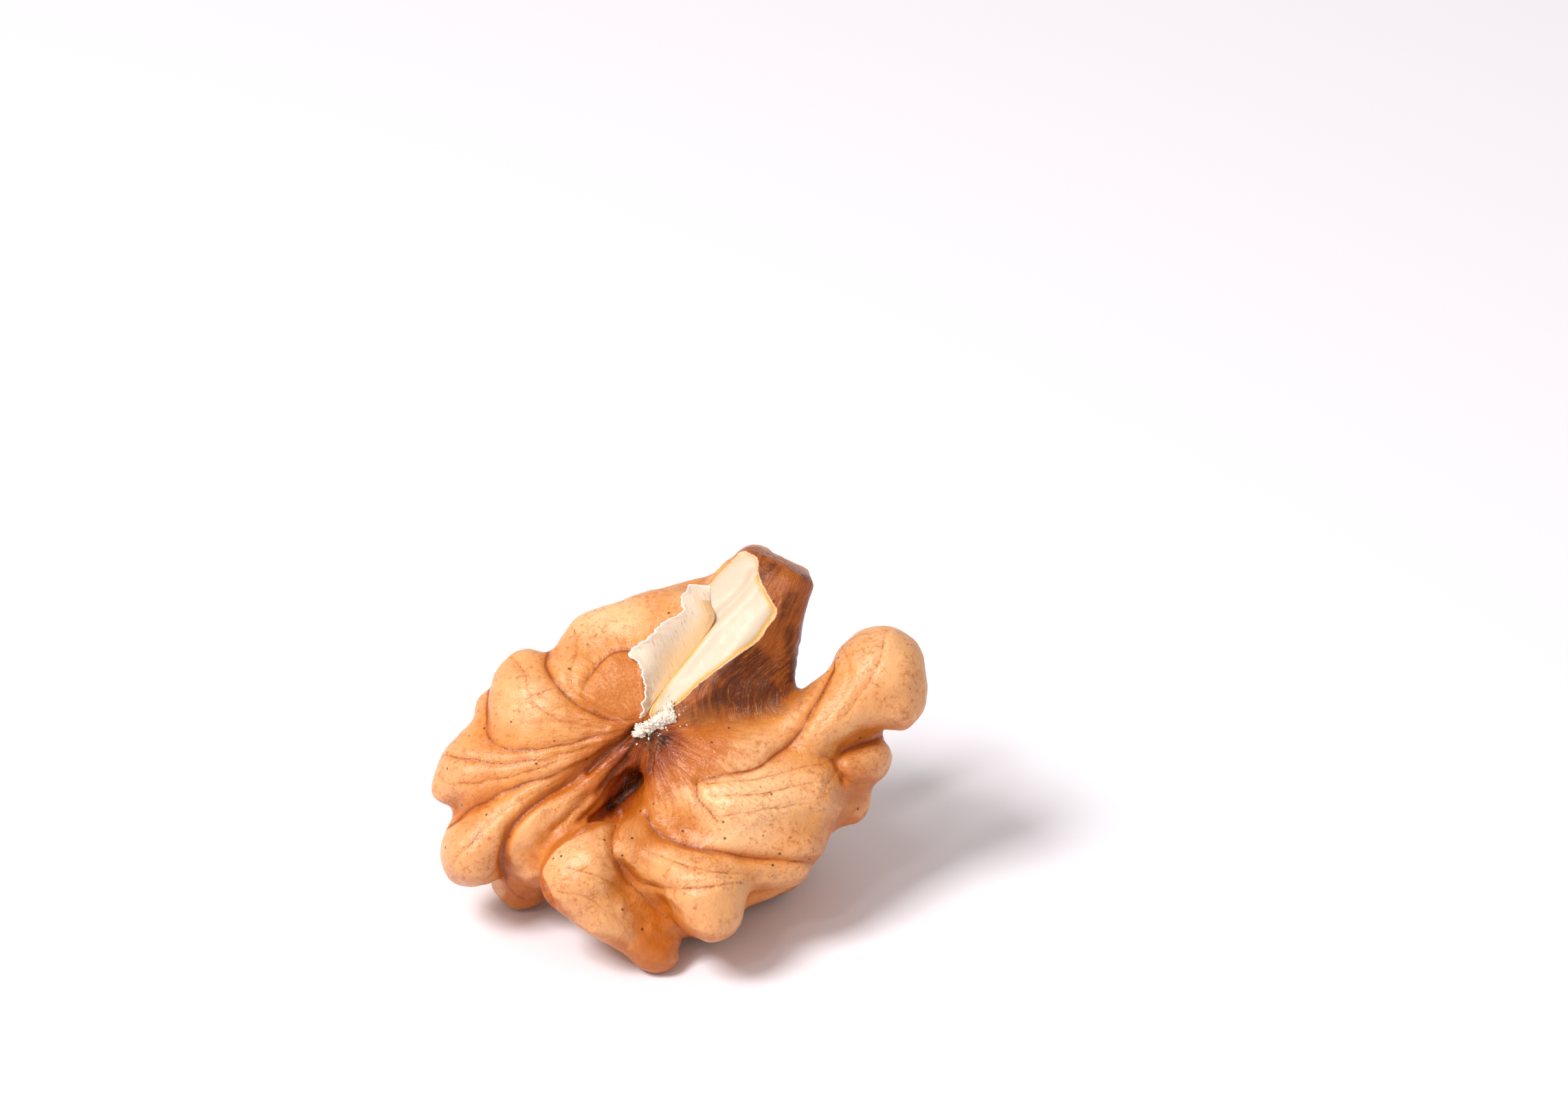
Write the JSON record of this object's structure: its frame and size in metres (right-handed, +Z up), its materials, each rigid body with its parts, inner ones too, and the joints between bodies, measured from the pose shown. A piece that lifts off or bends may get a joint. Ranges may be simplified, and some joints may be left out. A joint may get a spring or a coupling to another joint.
{
  "type": "walnut kernel half",
  "caption": "Shelled walnut kernel half with two deeply folded lobes, veined tan skin and the broken stump of its central bridge, lying on its rounded outer side.",
  "frame": {"origin": "centre of the bounding box's bottom face, on the surface that the kernel half rests on", "axes": "+Z up; the broken inner face looks towards -Y and up, leaning back 60 degrees from upright about X; +X runs along the kernel's longest way, towards its free arm"},
  "size_m": [0.0332, 0.024, 0.0232],
  "materials": {
    "seed_skin": "semi-gloss"
  },
  "bodies": {
    "root": {"kernel_half": "seed_skin"}
  },
  "joints": []
}
